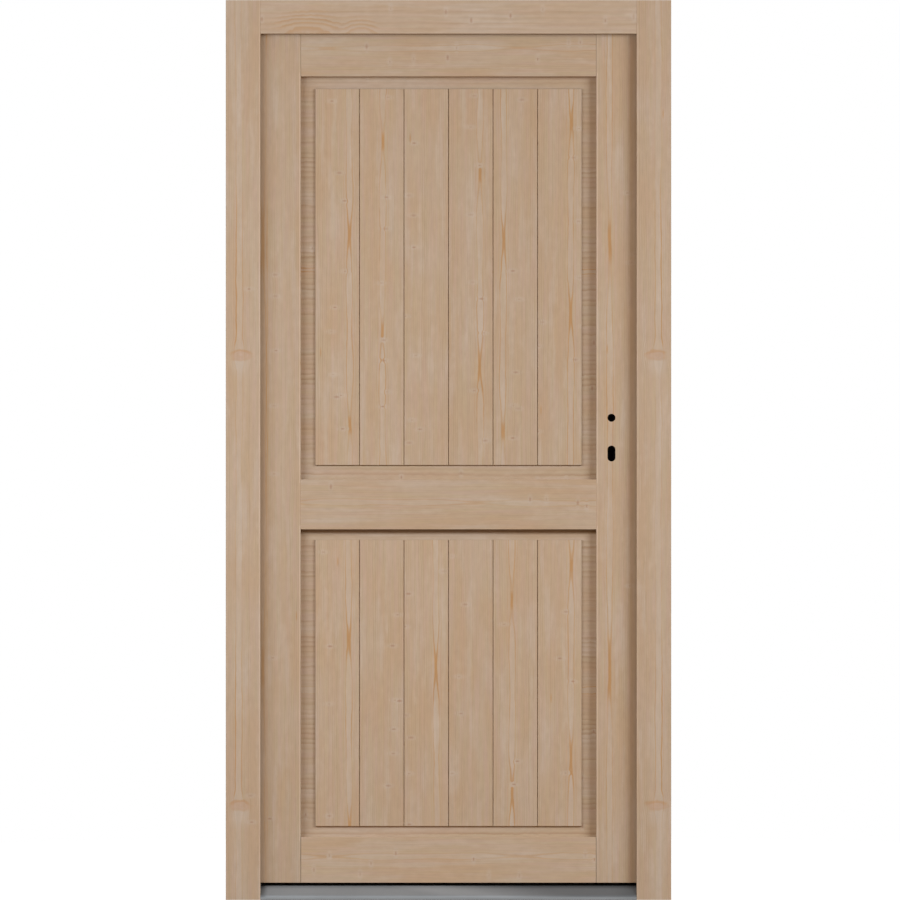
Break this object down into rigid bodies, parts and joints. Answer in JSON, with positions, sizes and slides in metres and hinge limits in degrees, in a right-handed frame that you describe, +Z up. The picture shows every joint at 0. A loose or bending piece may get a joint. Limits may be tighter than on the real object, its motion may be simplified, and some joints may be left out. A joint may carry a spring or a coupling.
{
  "type": "side door",
  "caption": "Inward-opening timber side door with framed board panels, hung on drill-in hinges in a rebated wooden frame over an aluminium threshold.",
  "frame": {"origin": "hinge jamb's wall face at floor level, in the middle of the frame's depth", "axes": "+X from the hinge jamb's wall face to the lock side, +Y from outside to inside, +Z up"},
  "size_m": [0.98, 0.092, 1.98],
  "materials": {
    "spruce": "planed, unfinished",
    "threshold_aluminium": "satin anodised",
    "threshold_plastic": "matt",
    "seal_rubber": "matt",
    "hinge_steel": "zinc plated",
    "lock_steel": "zinc plated",
    "lock_case_steel": "black"
  },
  "bodies": {
    "frame": {"hinge_jamb": "spruce", "lock_jamb": "spruce", "frame_head": "spruce", "threshold_base": "threshold_plastic", "threshold_cover": "threshold_aluminium", "threshold_seal": "seal_rubber", "hinge_jamb_seal": "seal_rubber", "lock_jamb_seal": "seal_rubber", "frame_head_seal": "seal_rubber", "strike_plate": "lock_steel", "lower_hinge_frame_part": "hinge_steel", "middle_hinge_frame_part": "hinge_steel", "upper_hinge_frame_part": "hinge_steel"},
    "leaf": {"hinge_stile": "spruce", "lock_stile": "spruce", "top_rail": "spruce", "middle_rail": "spruce", "bottom_rail": "spruce", "upper_panel": "spruce", "lower_panel": "spruce", "upper_boards_outside": "spruce", "upper_boards_inside": "spruce", "lower_boards_outside": "spruce", "lower_boards_inside": "spruce", "lock_case": "lock_case_steel", "lock_faceplate": "lock_steel", "latch": "lock_steel", "dead_bolt": "lock_steel", "lower_hinge_leaf_part": "hinge_steel", "middle_hinge_leaf_part": "hinge_steel", "upper_hinge_leaf_part": "hinge_steel"}
  },
  "joints": [
    {"name": "leaf_swing", "type": "hinge", "parent": "frame", "child": "leaf", "pos_m": [0.038, 0.05, 0], "axis": [0, 0, 1], "range_deg": [0, 110]}
  ]
}
